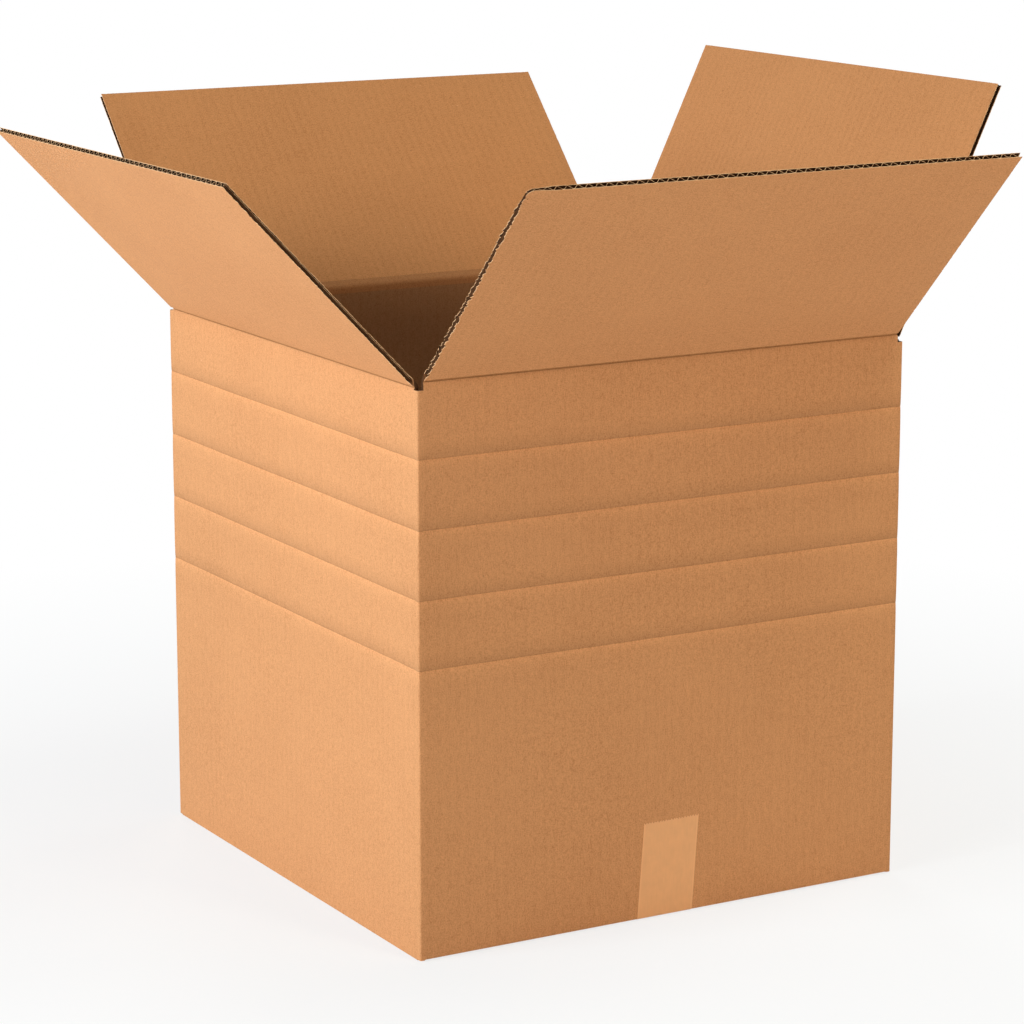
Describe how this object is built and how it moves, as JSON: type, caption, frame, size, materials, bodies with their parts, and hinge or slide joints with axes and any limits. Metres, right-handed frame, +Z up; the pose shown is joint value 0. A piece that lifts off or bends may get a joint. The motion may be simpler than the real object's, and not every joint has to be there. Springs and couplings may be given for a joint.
{
  "type": "open multi-depth cardboard box",
  "caption": "Square corrugated carton, open at the top with four hinged flaps leaning outwards, score lines round its walls and packing tape over the bottom seam.",
  "frame": {"origin": "centre of the underside of the closed bottom, where the box rests", "axes": "+Z up out of the open top, -Y out of the front wall that carries the tape's end, +X to the right"},
  "size_m": [0.6476, 0.6996, 0.6064],
  "materials": {
    "kraft_board": "matt kraft paper liners on corrugated board",
    "packing_tape": "tan film with a soft sheen"
  },
  "bodies": {
    "carton": {"box_body": "kraft_board", "bottom_tape": "packing_tape"},
    "left_flap": {"top_flap_left": "kraft_board"},
    "right_flap": {"top_flap_right": "kraft_board"},
    "front_flap": {"top_flap_front": "kraft_board"},
    "back_flap": {"top_flap_back": "kraft_board"}
  },
  "joints": [
    {"name": "left_flap_fold", "type": "hinge", "parent": "carton", "child": "left_flap", "pos_m": [-0.20735, 0, 0.41885], "axis": [0, 1, 0], "range_deg": [-131, 134]},
    {"name": "right_flap_fold", "type": "hinge", "parent": "carton", "child": "right_flap", "pos_m": [0.20735, 0, 0.41885], "axis": [0, -1, 0], "range_deg": [-149.2, 115.8]},
    {"name": "front_flap_fold", "type": "hinge", "parent": "carton", "child": "front_flap", "pos_m": [0, -0.20735, 0.42315], "axis": [-1, 0, 0], "range_deg": [-130.8, 134.2]},
    {"name": "back_flap_fold", "type": "hinge", "parent": "carton", "child": "back_flap", "pos_m": [0, 0.20735, 0.42315], "axis": [1, 0, 0], "range_deg": [-131.8, 133.2]}
  ]
}
